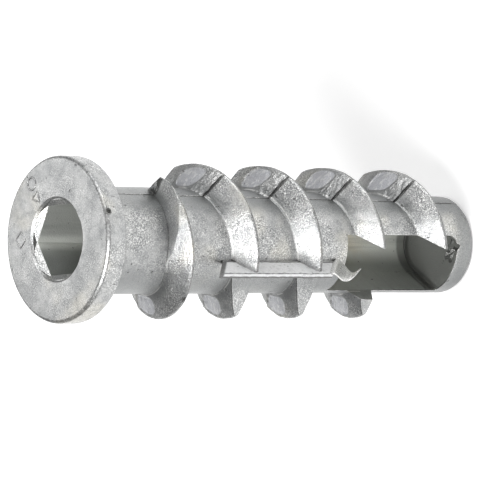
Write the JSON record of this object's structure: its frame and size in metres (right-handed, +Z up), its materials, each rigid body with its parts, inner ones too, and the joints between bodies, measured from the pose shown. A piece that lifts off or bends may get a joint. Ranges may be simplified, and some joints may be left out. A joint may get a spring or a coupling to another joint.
{
  "type": "aerated concrete anchor",
  "caption": "Die-cast screw-in anchor with a coarse outer thread, a flange with a hexagonal drive socket, a tapped bore for a bolt and a slotted tail.",
  "frame": {"origin": "on the axis at the closed tail end, on which the anchor stands", "axes": "+Z up the axis from the tail to the flange face, -Y out of the tail slot, X and Y in the casting's parting planes"},
  "size_m": [0.0196, 0.0194, 0.06],
  "materials": {
    "cast_zinc": "bare zinc die casting, matt and mottled, with bright worn edges"
  },
  "bodies": {
    "root": {"anchor_body": "cast_zinc"}
  },
  "joints": []
}
